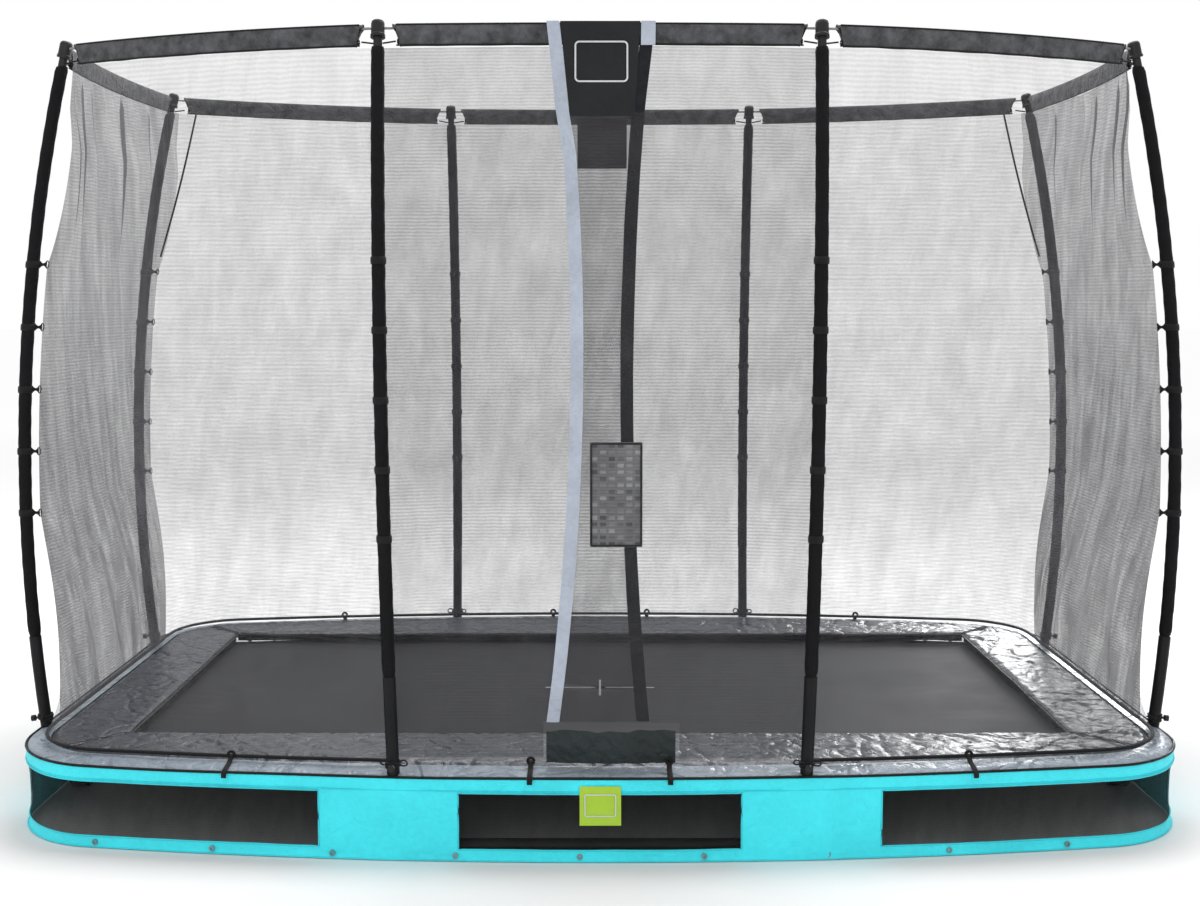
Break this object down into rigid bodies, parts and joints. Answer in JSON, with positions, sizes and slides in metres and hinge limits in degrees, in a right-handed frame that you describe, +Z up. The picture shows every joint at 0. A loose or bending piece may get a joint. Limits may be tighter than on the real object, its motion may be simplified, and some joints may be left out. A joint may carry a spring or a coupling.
{
  "type": "trampoline",
  "caption": "Low rectangular trampoline with spring pads, a mesh skirt and a safety net with an overlapping entrance on bowed poles.",
  "frame": {"origin": "on the ground under the middle of the frame", "axes": "+X along the long side, -Y towards the entrance, +Z up"},
  "size_m": [3.781, 2.285, 2.4787],
  "materials": {
    "frame_steel": "satin",
    "pole_steel": "satin",
    "zinc": "satin",
    "spring_steel": "satin",
    "black_plastic": "matte",
    "sleeve_fabric": "matte",
    "black_strap": "matte",
    "ring_rod": "satin",
    "ring_fabric": "matte",
    "elastic": "matte",
    "net_mesh": "matte",
    "light_webbing": "matte",
    "dark_webbing": "matte",
    "label_fabric": "satin",
    "patch_fabric": "matte",
    "card": "matte",
    "pad_vinyl": "satin",
    "edge_vinyl": "satin",
    "piping": "satin",
    "skirt_fabric": "satin",
    "window_mesh": "matte",
    "tag_fabric": "satin",
    "mat_fabric": "matte"
  },
  "bodies": {
    "root": {"top_rail_front": "frame_steel", "top_rail_back": "frame_steel", "top_rail_sides": "frame_steel", "top_rail_corners": "frame_steel", "leg_front": "frame_steel", "leg_back": "frame_steel", "legs_side": "frame_steel", "pole_sockets": "frame_steel", "socket_bolts": "zinc", "base_knobs": "black_plastic", "pole_front_left": "pole_steel", "pole_front_right": "pole_steel", "pole_right_front": "pole_steel", "pole_right_back": "pole_steel", "pole_back_right": "pole_steel", "pole_back_left": "pole_steel", "pole_left_back": "pole_steel", "pole_left_front": "pole_steel", "pole_sleeves": "sleeve_fabric", "pole_caps": "black_plastic", "pole_ties": "black_strap", "ring_rods": "ring_rod", "ring_sleeves": "ring_fabric", "ring_cords": "elastic", "net_front_left": "net_mesh", "net_front_right": "net_mesh", "net_right": "net_mesh", "net_back_right": "net_mesh", "net_back": "net_mesh", "net_back_left": "net_mesh", "net_left": "net_mesh", "door_panel_left": "net_mesh", "door_panel_right": "net_mesh", "band_tops": "light_webbing", "label_panel": "label_fabric", "net_patch": "patch_fabric", "door_threshold": "label_fabric", "net_ties": "black_strap", "pad_front": "pad_vinyl", "pad_back": "pad_vinyl", "pad_left": "pad_vinyl", "pad_right": "pad_vinyl", "pad_edge_strips": "edge_vinyl", "pad_piping": "piping", "skirt_front": "skirt_fabric", "skirt_back": "skirt_fabric", "skirt_ends": "skirt_fabric", "skirt_windows": "window_mesh", "hem_eyelets": "zinc", "skirt_tag": "tag_fabric", "springs": "spring_steel"},
    "mat": {"mat": "mat_fabric", "mat_webbing": "black_strap", "mat_rings": "spring_steel"},
    "flap_right": {"door_flap_right": "net_mesh", "band_light": "light_webbing"},
    "flap_left": {"door_flap_left": "net_mesh", "band_dark": "dark_webbing", "door_card": "card"}
  },
  "joints": [
    {"name": "mat_bounce", "type": "slide", "parent": "root", "child": "mat", "axis": [0, 0, 1], "range_m": [-0.16, 0], "stiffness_N_per_m": 5000, "deforming": ["springs"]},
    {"name": "flap_right_open", "type": "hinge", "parent": "root", "child": "flap_right", "pos_m": [0.6, -1.016, 0.296], "axis": [-0.3599, 0, 0.933], "range_deg": [0, 50]},
    {"name": "flap_left_open", "type": "hinge", "parent": "root", "child": "flap_left", "pos_m": [-0.6, -1.004, 0.296], "axis": [0.3661, 0, 0.9306], "range_deg": [0, 50]}
  ]
}
